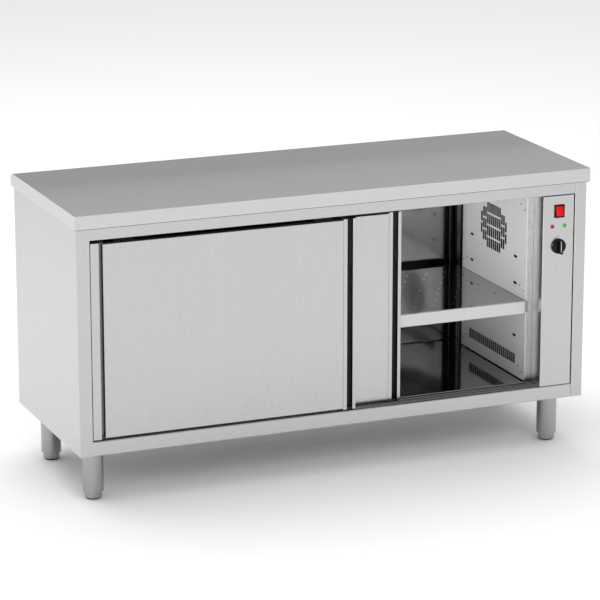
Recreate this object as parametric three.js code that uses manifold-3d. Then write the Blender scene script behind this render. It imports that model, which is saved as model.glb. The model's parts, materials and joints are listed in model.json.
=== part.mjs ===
// A heated food holding cabinet: a stainless hot cupboard on four legs, with two sliding doors,
// a perforated shelf, and a control column with a circulation fan at its right-hand end.
// Millimetres, +Z up. The front faces -Y, and the origin is the middle of the footprint on the floor.
import * as THREE from "three";
import { mergeVertices } from "three/addons/utils/BufferGeometryUtils.js";
import Module from "manifold-3d";

// ---- driving dimensions ----------------------------------------------------------------------
// Everything above the legs is placed in the casing's frame, whose z = 0 is the casing's underside.
const WIDTH = 1600;
const DEPTH = 600;
const HEIGHT = 850;
const LEG_HEIGHT = 146;
const SHEET = 1.2; // casing sheet
const TOP_SHEET = 1.5; // worktop sheet
const DOOR_SHEET = 1;
const GAP = 0.3; // between pieces that touch
const HEM = 12; // usual depth of a folded edge

const TOP = HEIGHT - LEG_HEIGHT;
const LIP = 40; // height of the worktop's folded edge
const REAR_BEVEL = 23;
const REAR_DROP = 8;
const SIDE_INSET = 6; // from the worktop's edge to the casing
const FACE_INSET = 10;
const SIDE_X = WIDTH / 2 - SIDE_INSET; // outer face of a side panel
const FRONT = -(DEPTH / 2 - FACE_INSET); // outer face of the front frame
const BACK = DEPTH / 2 - FACE_INSET;
const CASING_TOP = TOP - TOP_SHEET - 6; // clear of the worktop's rear bevel
const UNDER_TOP = TOP - TOP_SHEET - GAP;

const OPENING_LEFT = -SIDE_X + 39;
const COLUMN_LEFT = 652;
const COLUMN_RIGHT = 754;
const STILE_RIGHT = SIDE_X - 37; // inner edge of the right-hand stile
const RAIL_LOW = 42; // top of the bottom rail
const RAIL_HIGH = 628; // underside of the top rail

const FLOOR_Z = 44;
const CEILING_Z = 640;
const FOOT_GAP = 3.5; // under the cavity's back wall and duct cover
const CAVITY_FRONT = -229.9;
const CAVITY_BACK = 282;
const CAVITY_BACK_RIGHT = 646; // the back wall stops short of the column, which leaves an air slot
const BACK_SKIN = BACK - SHEET - GAP; // outer face of the back panel, inside the side panels' folds

const DUCT_X = 630; // inner face of the duct cover
const DUCT_FRONT = -230;
const DUCT_REAR = 212;
const COLUMN_WALL_X = COLUMN_LEFT + SHEET + GAP;

const DOOR_WIDTH = 808;
const DOOR_THICK = 20;
const DOOR_LOW = 44;
const DOOR_HIGH = 617.5;
const PANEL_STEP = 4; // the door's face panel is this much shorter than its ends, top and bottom
const DOOR_PITCH = 27; // from the front track to the rear one
const FRONT_DOOR_Y = -282;
const LEFT_DOOR_X = -753;
const RIGHT_DOOR_X = -598; // the right-hand door stands slid to the left, behind the other one
const GRIP_DEPTH = 12;
const LEFT_GRIP = [27, 38];
const RIGHT_GRIP = [781, 798];
const GUIDE_RIB = 5.5; // height of the lower guide's ribs
const HANGER_INSET = 100;
const ROLLER_R = 10;
const ROLLER_W = 7;
const AXLE_R = 3;
const TRACK_Z = 631;
const TRACK_HEIGHT = 33;
const TRACK_SHEET = 1.5;
const TRACK_FRONT = -286;

const SHELF_TOP = 298;
const SHELF_FRONT = -233;
const SHELF_REAR = 230;
const SHELF_FLANGE = 40;
const HOLE_R = 4;
const HOLE_PITCH_X = 64.5;
const HOLE_PITCH_Y = 56;
const CLIP_Y = [-157, 143];
const CLIP_PITCH = 81.5;
const CLIP_ROWS = 4;
const CLIP_LOWEST = 173;
const CLIP_ROW_USED = 1; // the row of slots that the shelf hangs in
const SLOT_W = 22;
const SLOT_H = 8;

const FAN_Y = -6;
const FAN_Z = 472;
const GRILLE_COLUMNS = 13;
const GRILLE_PITCH = 13.8;
const GRILLE_ROW_PITCH = 36.7;
const GRILLE_SLOT = [10.6, 30.6];
const LOUVRE_SLOTS = 23;
const LOUVRE_PITCH = 13.9;
const LOUVRE_Z = 100;
const HOUSING_R = 94;
const HOUSING_DEPTH = 40;
const IMPELLER_R = 70;
const ELEMENT_RING_R = 82;
const ELEMENT_R = 4;

const SWITCH_AT = [705, 579.5];
const LAMP_Z = 534;
const LAMP_X = [683, 723];
const KNOB_AT = [704, 473];
const KNOB_DEPTH = 20; // it stands further out than the worktop's front edge
const GLAND_AT = [722, 60];

const LEG_X = [-735, 712];
const LEG_Y = [-222, 168];
const LEG_R = 30;
const LEG_WALL = 1.5;
const FOOT_R = 24.5;
const FOOT_SHOWN = 23;
const STEM_R = 6;

// ---- materials ---------------------------------------------------------------------------------
const FINISHES = {
  steel: [0xc9cacb, 0.34, 1],
  dark_steel: [0x8d8f91, 0.45, 1],
  galvanised: [0xa9adb0, 0.5, 1],
  insulation: [0xc8bf9a, 0.95, 0],
  black_plastic: [0x161616, 0.4, 0],
  white_nylon: [0xe6e4dc, 0.5, 0],
  red_plastic: [0xd8141b, 0.3, 0],
  green_plastic: [0x1fa83a, 0.3, 0],
};

function finish(name) {
  const [color, roughness, metalness] = FINISHES[name];
  return new THREE.MeshStandardMaterial({ color, roughness, metalness });
}

// ---- solids ------------------------------------------------------------------------------------
const wasm = await Module();
wasm.setup();

function toSolid(geometry) {
  const bare = geometry.clone();
  bare.deleteAttribute("normal");
  bare.deleteAttribute("uv");
  const merged = mergeVertices(bare, 1e-3);
  return new wasm.Manifold(
    new wasm.Mesh({
      numProp: 3,
      vertProperties: merged.attributes.position.array,
      triVerts: new Uint32Array(merged.index.array),
    }),
  );
}

function toGeometry(solid) {
  const mesh = solid.getMesh();
  const geometry = new THREE.BufferGeometry();
  geometry.setAttribute("position", new THREE.BufferAttribute(mesh.vertProperties, 3));
  geometry.setIndex(new THREE.BufferAttribute(mesh.triVerts, 1));
  geometry.computeVertexNormals();
  return geometry;
}

function join(...geometries) {
  const [first, ...others] = geometries.map(toSolid);
  return toGeometry(others.reduce((whole, part) => whole.add(part), first));
}

function cut(geometry, ...cutters) {
  const tools = cutters.map(toSolid);
  return toGeometry(tools.reduce((whole, tool) => whole.subtract(tool), toSolid(geometry)));
}

function block([x0, x1], [y0, y1], [z0, z1]) {
  const box = new THREE.BoxGeometry(x1 - x0, y1 - y0, z1 - z0);
  return box.translate((x0 + x1) / 2, (y0 + y1) / 2, (z0 + z1) / 2);
}

// A closed outline pushed along x, y or z. The outline's plane is (y, z), (x, z) or (x, y).
const BASES = {
  x: [new THREE.Vector3(0, 1, 0), new THREE.Vector3(0, 0, 1), new THREE.Vector3(1, 0, 0)],
  y: [new THREE.Vector3(1, 0, 0), new THREE.Vector3(0, 0, 1), new THREE.Vector3(0, -1, 0)],
  z: [new THREE.Vector3(1, 0, 0), new THREE.Vector3(0, 1, 0), new THREE.Vector3(0, 0, 1)],
};

function pushed(shape, axis, [from, to], curveSegments = 12) {
  const options = { depth: to - from, bevelEnabled: false, curveSegments };
  const geometry = new THREE.ExtrudeGeometry(shape, options);
  geometry.applyMatrix4(new THREE.Matrix4().makeBasis(...BASES[axis]));
  const start = axis === "y" ? to : from;
  const shift = { x: 0, y: 0, z: 0, [axis]: start };
  return geometry.translate(shift.x, shift.y, shift.z);
}

function outline(points) {
  return new THREE.Shape(points.map(([u, v]) => new THREE.Vector2(u, v)));
}

// Folded sheet: the outline of a bent strip whose thickness lies to the left of the path.
function folded(path, thickness) {
  const points = path.map(([u, v]) => new THREE.Vector2(u, v));
  const last = points.length - 1;
  const side = (a, b) => new THREE.Vector2(a.y - b.y, b.x - a.x).normalize();
  const inner = points.map((point, i) => {
    const before = side(points[Math.max(i - 1, 0)], points[Math.max(i, 1)]);
    const after = side(points[Math.min(i, last - 1)], points[Math.min(i + 1, last)]);
    const mitre = before.clone().add(after);
    return point.clone().addScaledVector(mitre, (2 * thickness) / mitre.lengthSq());
  });
  return new THREE.Shape([...points, ...inner.reverse()]);
}

// A turned piece about the z axis, from its half outline of [radius, z] points.
function turned(profile, segments = 24) {
  const points = profile.map(([r, z]) => new THREE.Vector2(r, z));
  return new THREE.LatheGeometry(points, segments).rotateX(Math.PI / 2);
}

function rod(radius, [from, to], segments = 20) {
  return turned([[0, from], [radius, from], [radius, to], [0, to]], segments);
}

function tube(curve, radius, steps, sides = 8) {
  const section = new THREE.Shape();
  section.absarc(0, 0, radius, 0, 2 * Math.PI, false);
  const options = { steps, curveSegments: sides / 2, bevelEnabled: false, extrudePath: curve };
  return new THREE.ExtrudeGeometry(section, options);
}

const cabinet = new THREE.Group();
const casing = new THREE.Group();
casing.position.set(0, (KNOB_DEPTH - FACE_INSET) / 2, LEG_HEIGHT);
cabinet.add(casing);

function add(name, geometry, material, parent = casing) {
  const mesh = new THREE.Mesh(geometry, finish(material));
  mesh.name = name;
  parent.add(mesh);
  return mesh;
}

// ---- worktop -----------------------------------------------------------------------------------
function worktop() {
  const half = DEPTH / 2;
  const section = (inset, low) => {
    const high = TOP - inset;
    const back = half - inset;
    const bevel = half - REAR_BEVEL - inset / 5;
    const points = [[-back, low], [back, low], [back, high - REAR_DROP], [bevel, high], [-back, high]];
    return outline(points);
  };
  const skirt = TOP - LIP;
  const side = WIDTH / 2;
  const inside = side - TOP_SHEET;
  const outer = pushed(section(0, skirt), "x", [-side, side]);
  const hollow = pushed(section(TOP_SHEET, skirt + TOP_SHEET), "x", [-inside, inside]);
  const mouthX = SIDE_X + GAP;
  const mouth = block([-mouthX, mouthX], [FRONT - GAP, BACK + GAP], [skirt - 1, skirt + 2]);
  return cut(outer, hollow, mouth);
}

function topStiffener(middle) {
  const half = 40;
  const low = UNDER_TOP - 30;
  const path = [
    [middle + half, low],
    [middle + half, UNDER_TOP],
    [middle - half, UNDER_TOP],
    [middle - half, low],
  ];
  return pushed(folded(path, SHEET), "x", [-SIDE_X + 14, SIDE_X - 14]);
}

add("worktop", worktop(), "steel");
add("top_stiffener_front", topStiffener(-160), "galvanised");
add("top_stiffener_rear", topStiffener(160), "galvanised");

// ---- outer casing ------------------------------------------------------------------------------
function sidePanel(outer, stile) {
  const toward = Math.sign(outer);
  const path = [
    [stile, FRONT + HEM],
    [stile, FRONT],
    [outer, FRONT],
    [outer, BACK],
    [outer - toward * 15, BACK],
  ];
  const ordered = toward > 0 ? path : path.reverse();
  return pushed(folded(ordered, SHEET), "z", [0, CASING_TOP]);
}

function rail(low, high, lowHem, highHem) {
  const path = [
    [FRONT + highHem, high],
    [FRONT, high],
    [FRONT, low],
    [FRONT + lowHem, low],
  ];
  return pushed(folded(path, SHEET), "x", [OPENING_LEFT + GAP, STILE_RIGHT - GAP]);
}

function backPanel() {
  const fold = BACK_SKIN - 18;
  const path = [
    [fold, 0],
    [BACK_SKIN, 0],
    [BACK_SKIN, CASING_TOP],
    [fold, CASING_TOP],
  ];
  const half = SIDE_X - SHEET - GAP;
  const plate = pushed(folded(path, SHEET), "x", [-half, half]);
  const cableHole = rod(10.3, [-20, 20]).rotateX(Math.PI / 2);
  return cut(plate, cableHole.translate(GLAND_AT[0], BACK_SKIN, GLAND_AT[1]));
}

function bottomPan() {
  const half = SIDE_X - SHEET - GAP;
  const low = SHEET + GAP;
  const plate = block(
    [-half, half],
    [FRONT + HEM + GAP, BACK_SKIN - SHEET - GAP],
    [low, low + SHEET],
  );
  const holes = LEG_X.flatMap((x) => LEG_Y.map((y) => rod(5.5, [-5, 10], 12).translate(x, y, 0)));
  return cut(plate, ...holes);
}

add("left_side_panel", sidePanel(-SIDE_X, OPENING_LEFT), "steel");
add("right_side_panel", sidePanel(SIDE_X, STILE_RIGHT), "steel");
add("top_rail", rail(RAIL_HIGH, CASING_TOP, 10, HEM), "steel");
add("bottom_rail", rail(0, RAIL_LOW, 25, 11), "steel");
add("back_panel", backPanel(), "steel");
add("bottom_pan", bottomPan(), "steel");

// ---- heated cavity -----------------------------------------------------------------------------
const CAVITY_X = [OPENING_LEFT + GAP, COLUMN_WALL_X - GAP];

function cavityFloor() {
  const path = [
    [CAVITY_BACK - GAP, FLOOR_Z],
    [CAVITY_FRONT, FLOOR_Z],
    [CAVITY_FRONT, FLOOR_Z - 20],
  ];
  return pushed(folded(path, SHEET), "x", CAVITY_X);
}

function cavityCeiling() {
  const path = [
    [CAVITY_FRONT, CEILING_Z + 15],
    [CAVITY_FRONT, CEILING_Z],
    [CAVITY_BACK - GAP, CEILING_Z],
  ];
  return pushed(folded(path, SHEET), "x", CAVITY_X);
}

function clipSlots(x) {
  const slots = [];
  for (let row = 0; row < CLIP_ROWS; row += 1) {
    const z = CLIP_LOWEST + row * CLIP_PITCH;
    for (const y of CLIP_Y) {
      const across = [y - SLOT_W / 2, y + SLOT_W / 2];
      slots.push(block([x - 5, x + 5], across, [z - SLOT_H / 2, z + SLOT_H / 2]));
    }
  }
  return slots;
}

function cavityLeftWall() {
  const front = FRONT + HEM + GAP;
  const back = CAVITY_BACK - GAP;
  const path = [
    [OPENING_LEFT - HEM, front],
    [OPENING_LEFT, front],
    [OPENING_LEFT, back],
    [OPENING_LEFT - HEM, back],
  ];
  const wall = pushed(folded(path, SHEET), "z", [FLOOR_Z + GAP, CEILING_Z - GAP]);
  return cut(wall, ...clipSlots(OPENING_LEFT));
}

function cavityBackWall() {
  const fold = BACK_SKIN - SHEET - GAP;
  const path = [
    [OPENING_LEFT, fold],
    [OPENING_LEFT, CAVITY_BACK],
    [CAVITY_BACK_RIGHT, CAVITY_BACK],
    [CAVITY_BACK_RIGHT, fold],
  ];
  return pushed(folded(path, SHEET), "z", [FLOOR_Z + FOOT_GAP, CEILING_Z - GAP]);
}

add("cavity_floor", cavityFloor(), "steel");
add("cavity_ceiling", cavityCeiling(), "steel");
add("cavity_left_wall", cavityLeftWall(), "steel");
add("cavity_back_wall", cavityBackWall(), "steel");
add(
  "ceiling_insulation",
  block([OPENING_LEFT + 2, COLUMN_LEFT - 2], [-225, 280], [CEILING_Z + 2, CEILING_Z + 28]),
  "insulation",
);
add(
  "left_insulation",
  block([-SIDE_X + 2, OPENING_LEFT - 6], [-275, 279], [FLOOR_Z, CEILING_Z]),
  "insulation",
);
add(
  "floor_insulation",
  block([-685, COLUMN_LEFT - 2], [-225, 279], [4, FLOOR_Z - SHEET - 1]),
  "insulation",
);

// ---- control column ----------------------------------------------------------------------------
// Grille: the outer columns of slots are shorter stacks, so that the pattern is round.
function grilleRows(column) {
  const fromEdge = Math.min(column, GRILLE_COLUMNS - 1 - column);
  if (fromEdge === 0) return 2;
  return fromEdge < 3 ? 3 : 4;
}

function grilleSlots() {
  const slots = [];
  const [width, height] = GRILLE_SLOT;
  const through = [DUCT_X - 5, DUCT_X + 5];
  for (let column = 0; column < GRILLE_COLUMNS; column += 1) {
    const y = FAN_Y + (column - (GRILLE_COLUMNS - 1) / 2) * GRILLE_PITCH;
    const rows = grilleRows(column);
    for (let row = 0; row < rows; row += 1) {
      const z = FAN_Z + (row - (rows - 1) / 2) * GRILLE_ROW_PITCH;
      slots.push(block(through, [y - width / 2, y + width / 2], [z - height / 2, z + height / 2]));
    }
  }
  return slots;
}

function louvreSlots() {
  const slots = [];
  const [width, height] = GRILLE_SLOT;
  for (let i = 0; i < LOUVRE_SLOTS; i += 1) {
    const y = FAN_Y + (i - (LOUVRE_SLOTS - 1) / 2) * LOUVRE_PITCH;
    const tall = [LOUVRE_Z - height / 2, LOUVRE_Z + height / 2];
    slots.push(block([DUCT_X - 5, DUCT_X + 5], [y - width / 2, y + width / 2], tall));
  }
  return slots;
}

function ductCover() {
  const path = [
    [DUCT_X + 18, DUCT_REAR],
    [DUCT_X, DUCT_REAR],
    [DUCT_X, DUCT_FRONT],
    [COLUMN_LEFT - GAP, DUCT_FRONT],
  ];
  const cover = pushed(folded(path, SHEET), "z", [FLOOR_Z + FOOT_GAP, CEILING_Z - GAP]);
  return cut(cover, ...grilleSlots(), ...louvreSlots(), ...clipSlots(DUCT_X));
}

const SENSOR_Z = FAN_Z + 122;

function columnWall() {
  const rear = BACK_SKIN - SHEET - GAP;
  const path = [
    [COLUMN_WALL_X + HEM, rear],
    [COLUMN_WALL_X, rear],
    [COLUMN_WALL_X, FRONT + 15],
  ];
  const wall = pushed(folded(path, SHEET), "z", [3, UNDER_TOP - 31]);
  const acrossX = (radius) => rod(radius, [-20, 20], 32).rotateY(Math.PI / 2);
  const fanMouth = acrossX(HOUSING_R + 1).translate(COLUMN_WALL_X, FAN_Y, FAN_Z);
  const sensorHole = acrossX(6).translate(COLUMN_WALL_X, FAN_Y - 100, SENSOR_Z);
  return cut(wall, fanMouth, sensorHole);
}

function controlPanel() {
  const low = RAIL_LOW + 1.5;
  const high = RAIL_HIGH - 2;
  const path = [
    [COLUMN_LEFT, DUCT_FRONT - GAP],
    [COLUMN_LEFT, FRONT],
    [COLUMN_RIGHT, FRONT],
    [COLUMN_RIGHT, FRONT + HEM],
  ];
  const skin = pushed(folded(path, SHEET), "z", [low, high]);
  const hem = (z) => block([COLUMN_LEFT + 3, COLUMN_RIGHT - 0.5], [FRONT + 0.5, FRONT + HEM], [z, z + SHEET]);
  const [switchX, switchZ] = SWITCH_AT;
  const switchHole = block([switchX - 14, switchX + 14], [FRONT - 5, FRONT + 5], [switchZ - 18.5, switchZ + 18.5]);
  const alongY = (radius, x, z) => rod(radius, [-5, 5]).rotateX(Math.PI / 2).translate(x, FRONT, z);
  const lampHoles = LAMP_X.map((x) => alongY(4.2, x, LAMP_Z));
  const spindleHole = alongY(5, ...KNOB_AT);
  return cut(join(skin, hem(low), hem(high - SHEET)), switchHole, ...lampHoles, spindleHole);
}

add("duct_cover", ductCover(), "steel");
add("column_wall", columnWall(), "steel");
add("control_panel", controlPanel(), "steel");

// ---- circulation fan and heating element, on an axis along +X -----------------------------------
const fan = new THREE.Group();
fan.position.set(COLUMN_WALL_X + SHEET + GAP, FAN_Y, FAN_Z);
fan.rotation.y = Math.PI / 2;
casing.add(fan);

const ELEMENT_END = 0.16; // radians from the top of the ring to each end of the element

function elementEnd(side) {
  const angle = side * ELEMENT_END;
  return [-ELEMENT_RING_R * Math.cos(angle), ELEMENT_RING_R * Math.sin(angle)];
}

function fanHousing() {
  const back = HOUSING_DEPTH;
  const rim = HOUSING_R - SHEET;
  const profile = [
    [14, back],
    [14, back - SHEET],
    [rim, back - SHEET],
    [rim, 0],
    [HOUSING_R + 14, 0],
    [HOUSING_R + 14, SHEET],
    [HOUSING_R, SHEET],
    [HOUSING_R, back],
    [14, back],
  ];
  const holes = [-1, 1].map((side) => {
    const [x, y] = elementEnd(side);
    return rod(ELEMENT_R + 1.5, [back - 8, back + 8], 12).translate(x, y, 0);
  });
  return cut(turned(profile, 40), ...holes);
}

function fanImpeller() {
  const blades = [];
  const count = 10;
  for (let i = 0; i < count; i += 1) {
    const blade = block([24, IMPELLER_R - 2], [-0.6, 0.6], [2, 30]);
    blades.push(blade.rotateZ(0.35).translate(0, -14, 0).rotateZ((i * 2 * Math.PI) / count));
  }
  const disc = rod(IMPELLER_R, [29, 30.5], 32);
  const hub = rod(11, [14, 32]);
  const shaft = rod(4, [30, 66], 16);
  const ring = turned([[54, 1], [IMPELLER_R, 1], [IMPELLER_R, 2.5], [54, 2.5], [54, 1]], 32);
  return join(disc, hub, shaft, ring, ...blades);
}

function fanMotor() {
  const front = HOUSING_DEPTH + GAP;
  const profile = [
    [4.6, front],
    [44, front],
    [44, front + 2],
    [30, front + 2],
    [30, front + 12],
    [38, front + 14],
    [38, front + 50],
    [30, front + 52],
    [12, front + 52],
    [12, front + 62],
    [0, front + 62],
    [0, front + 30],
    [4.6, front + 30],
    [4.6, front],
  ];
  return turned(profile, 28);
}

// The element is a ring round the impeller whose two ends turn back through the housing.
class ElementRing extends THREE.Curve {
  getPoint(t, target = new THREE.Vector3()) {
    const angle = ELEMENT_END + t * (2 * Math.PI - 2 * ELEMENT_END);
    const x = -ELEMENT_RING_R * Math.cos(angle);
    return target.set(x, ELEMENT_RING_R * Math.sin(angle), HOUSING_DEPTH / 2);
  }
}

function heatingElement() {
  const ring = tube(new ElementRing(), ELEMENT_R, 40);
  const ends = [-1, 1].map((side) => {
    const [x, y] = elementEnd(side);
    const end = rod(ELEMENT_R + 0.2, [HOUSING_DEPTH / 2 - ELEMENT_R, HOUSING_DEPTH + 16], 12);
    return end.translate(x, y, 0);
  });
  return join(ring, ...ends);
}

add("fan_housing", fanHousing(), "galvanised", fan);
add("fan_impeller", fanImpeller(), "steel", fan);
add("fan_motor", fanMotor(), "dark_steel", fan);
add("heating_element", heatingElement(), "dark_steel", fan);

// ---- switch, lamps and thermostat ----------------------------------------------------------------
// These pieces are drawn about an axis that points out of the panel, then stood on the panel.
function onPanel(x, z) {
  const group = new THREE.Group();
  group.position.set(x, FRONT, z);
  group.rotation.x = Math.PI / 2;
  casing.add(group);
  return group;
}

const ROCKER_W = 22.6;
const ROCKER_R = 15.2;
const ROCKER_TILT = 0.17; // radians that each face of the rocker leans from flat

function switchFrame() {
  const bezel = block([-16, 16], [-19.5, 19.5], [GAP, 4]);
  const body = block([-13.7, 13.7], [-18.2, 18.2], [-28, GAP + 1]);
  const well = block([-11.7, 11.7], [-15.6, 15.6], [-17, 5]);
  return cut(join(bezel, body), well);
}

// The rocker's ends are round about its pivot, and its two faces meet in a shallow valley.
function switchRocker() {
  const shape = new THREE.Shape();
  const rise = ROCKER_R * Math.sin(ROCKER_TILT);
  const valley = 3.4;
  const lean = Math.asin((valley + rise) / ROCKER_R);
  const heel = 0.5;
  shape.moveTo(valley, 0);
  shape.absarc(0, 0, ROCKER_R, Math.PI / 2 - lean, Math.PI / 2 + heel, false);
  shape.lineTo(-9, 0);
  shape.absarc(0, 0, ROCKER_R, -Math.PI / 2 - heel, -Math.PI / 2 + lean, false);
  const geometry = pushed(shape, "z", [-ROCKER_W / 2, ROCKER_W / 2], 5);
  return geometry.rotateY(-Math.PI / 2).rotateX(-ROCKER_TILT);
}

function lamp() {
  const profile = [
    [0, -18],
    [3.8, -18],
    [3.8, GAP],
    [6, GAP],
    [6, 1.2],
    [4.8, 1.6],
    [4.2, 3.4],
    [2.4, 4.6],
    [0, 5],
  ];
  return turned(profile, 18);
}

function thermostatKnob() {
  const skirt = turned([[0, 1], [22.5, 1], [22.5, 6], [21, 8], [0, 8]], 36);
  const grip = block([-5, 5], [-20.5, 20.5], [7, KNOB_DEPTH]);
  const pointer = block([-3.5, 3.5], [-27, -16], [2, 9]).rotateZ(0.4);
  const spindle = rod(3, [-18, 2], 12);
  return join(skirt, grip, pointer, spindle);
}

function thermostatBody() {
  const body = block([-22, 22], [-20, 20], [-42, -4]);
  const collar = rod(4.6, [-6, 0], 16);
  return cut(join(body, collar), rod(3.4, [-20, 5], 12));
}

const switchGroup = onPanel(...SWITCH_AT);
add("power_switch_frame", switchFrame(), "black_plastic", switchGroup);
add("power_switch_rocker", switchRocker(), "red_plastic", switchGroup);
add("red_lamp", lamp(), "red_plastic", onPanel(LAMP_X[0], LAMP_Z));
add("green_lamp", lamp(), "green_plastic", onPanel(LAMP_X[1], LAMP_Z));
const knobGroup = onPanel(...KNOB_AT);
add("thermostat_knob", thermostatKnob(), "black_plastic", knobGroup);
add("thermostat_body", thermostatBody(), "dark_steel", knobGroup);

// ---- wiring and sensor ---------------------------------------------------------------------------
function sensor() {
  const y = FAN_Y - 100;
  const x = COLUMN_WALL_X;
  const points = [
    [x - 14, y + 110, SENSOR_Z],
    [x - 14, y + 20, SENSOR_Z],
    [x - 6, y + 3, SENSOR_Z],
    [x + 8, y, SENSOR_Z],
    [x + 24, y - 30, SENSOR_Z - 20],
    [KNOB_AT[0] - 8, y - 80, KNOB_AT[1] + 40],
    [KNOB_AT[0], y - 125, KNOB_AT[1] + 6],
    [KNOB_AT[0], FRONT + 43, KNOB_AT[1]],
  ];
  const curve = new THREE.CatmullRomCurve3(points.map((point) => new THREE.Vector3(...point)));
  return tube(curve, 2.5, 40, 6);
}

const TERMINALS_AT = [715, 200];

function terminalBlock() {
  const [x, y] = TERMINALS_AT;
  const base = block([x - 30, x + 30], [y - 14, y + 14], [3, 16]);
  const wall = (i) => block([x - 30 + i * 11.6, x - 28 + i * 11.6], [y - 14, y + 14], [15, 26]);
  const middle = block([x - 30, x + 30], [y - 3, y + 3], [15, 22]);
  return join(base, middle, ...[0, 1, 2, 3, 4, 5].map(wall));
}

function cableGland() {
  const profile = [
    [4.5, -14],
    [13, -14],
    [13, -4],
    [10, -4],
    [10, 1.5],
    [14, 1.5],
    [14, 6],
    [9, 10],
    [4.5, 10],
    [4.5, -14],
  ];
  const gland = turned(profile, 24).rotateX(-Math.PI / 2);
  return gland.translate(GLAND_AT[0], BACK_SKIN, GLAND_AT[1]);
}

function wiringLoom() {
  const [x, y] = TERMINALS_AT;
  const [switchX, switchZ] = SWITCH_AT;
  const points = [
    [x, y, 28],
    [x, y - 4, 50],
    [x + 20, y - 60, 100],
    [x + 45, y - 180, 180],
    [x + 48, y - 320, 330],
    [x + 40, y - 400, 460],
    [switchX + 6, FRONT + 60, switchZ - 10],
    [switchX, FRONT + 31, switchZ],
  ];
  const curve = new THREE.CatmullRomCurve3(points.map((point) => new THREE.Vector3(...point)));
  return tube(curve, 4, 40, 6);
}

add("thermostat_sensor", sensor(), "dark_steel");
add("terminal_block", terminalBlock(), "white_nylon");
add("cable_gland", cableGland(), "black_plastic");
add("wiring_loom", wiringLoom(), "black_plastic");

// ---- door tracks -----------------------------------------------------------------------------------
const TRACK_X = [OPENING_LEFT + GAP, COLUMN_LEFT - GAP];

// The upper track is two channels side by side, each with one inward lip that the rollers run on.
function upperTrack() {
  const top = TRACK_Z + TRACK_HEIGHT;
  const rear = TRACK_FRONT + 2 * DOOR_PITCH;
  const plate = block(TRACK_X, [TRACK_FRONT, rear + TRACK_SHEET], [top - TRACK_SHEET, top]);
  const parts = [plate];
  for (let lane = 0; lane <= 2; lane += 1) {
    const y = TRACK_FRONT + lane * DOOR_PITCH;
    parts.push(block(TRACK_X, [y, y + TRACK_SHEET], [TRACK_Z, top]));
    if (lane < 2) parts.push(block(TRACK_X, [y, y + 11], [TRACK_Z, TRACK_Z + TRACK_SHEET]));
  }
  return join(...parts);
}

// The lower guide is a flat strip with one upright rib for each door to run astride.
function lowerTrack() {
  const base = block(TRACK_X, [FRONT + 11 + GAP, -230.5], [RAIL_LOW - SHEET, RAIL_LOW]);
  const ribs = [0, 1].map((lane) => {
    const y = FRONT_DOOR_Y + DOOR_THICK / 2 + lane * DOOR_PITCH;
    return block(TRACK_X, [y - 0.6, y + 0.6], [RAIL_LOW - SHEET, RAIL_LOW + GUIDE_RIB]);
  });
  return join(base, ...ribs);
}

add("upper_door_track", upperTrack(), "galvanised");
add("lower_door_track", lowerTrack(), "steel");

// ---- sliding doors -----------------------------------------------------------------------------------
// A door is drawn in its own frame: x from its left edge, y back from its face, z as in the casing.
function doorOuterSkin() {
  const deep = DOOR_THICK - DOOR_SHEET - GAP - 0.2;
  const path = [
    [0, deep],
    [0, 0],
    ...[LEFT_GRIP, RIGHT_GRIP].flatMap(([from, to]) => [
      [from, 0],
      [from, GRIP_DEPTH],
      [to, GRIP_DEPTH],
      [to, 0],
    ]),
    [DOOR_WIDTH, 0],
    [DOOR_WIDTH, deep],
  ];
  const skin = pushed(folded(path, DOOR_SHEET), "z", [DOOR_LOW, DOOR_HIGH]);
  const faceX = [LEFT_GRIP[1], RIGHT_GRIP[0] - 13];
  const faceLow = DOOR_LOW + PANEL_STEP;
  const faceHigh = DOOR_HIGH - PANEL_STEP;
  const overTop = block([faceX[0] - 0.01, faceX[1]], [-1, 2], [faceHigh, DOOR_HIGH + 1]);
  const underFace = block([faceX[0] - 0.01, faceX[1]], [-1, 2], [DOOR_LOW - 1, faceLow]);
  const grooveFoot = RAIL_LOW + GUIDE_RIB + 2;
  const ribSlot = block([-1, DOOR_WIDTH + 1], [1.1, DOOR_THICK], [DOOR_LOW - 1, grooveFoot]);
  const inFace = [faceX[0] + 0.5, faceX[1]];
  const topFold = block(inFace, [0.5, GRIP_DEPTH], [faceHigh - DOOR_SHEET, faceHigh]);
  const bottomFold = block(inFace, [0.5, GRIP_DEPTH], [faceLow + 1.5, faceLow + 1.5 + DOOR_SHEET]);
  // Each grip is closed at its head and foot by a small plate.
  const gripEnds = [LEFT_GRIP, RIGHT_GRIP].flatMap(([from, to]) =>
    [grooveFoot, DOOR_HIGH - DOOR_SHEET].map((z) => {
      const across = [from - 0.5, to + 0.5];
      return block(across, [1, GRIP_DEPTH + DOOR_SHEET], [z, z + DOOR_SHEET]);
    }),
  );
  const trimmed = cut(skin, overTop, underFace, ribSlot);
  return join(trimmed, topFold, bottomFold, ...gripEnds);
}

function doorInnerSkin() {
  const back = DOOR_THICK - DOOR_SHEET;
  const plate = block([0, DOOR_WIDTH], [back, DOOR_THICK], [DOOR_LOW, DOOR_HIGH]);
  const between = [LEFT_GRIP[1] + 4, RIGHT_GRIP[0] - 17];
  const cap = block(between, [1.5, back + 0.5], [DOOR_HIGH - DOOR_SHEET, DOOR_HIGH]);
  const foldY = [GRIP_DEPTH + DOOR_SHEET + GAP, back + 0.5];
  const foot = block([1.5, DOOR_WIDTH - 1.5], foldY, [DOOR_LOW, DOOR_LOW + DOOR_SHEET]);
  return join(plate, cap, foot);
}

const PLATE_Y = 7.5; // front face of the hanger's plate, behind the roller
const AXLE_Z = TRACK_Z + TRACK_SHEET + GAP + ROLLER_R;

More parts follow.
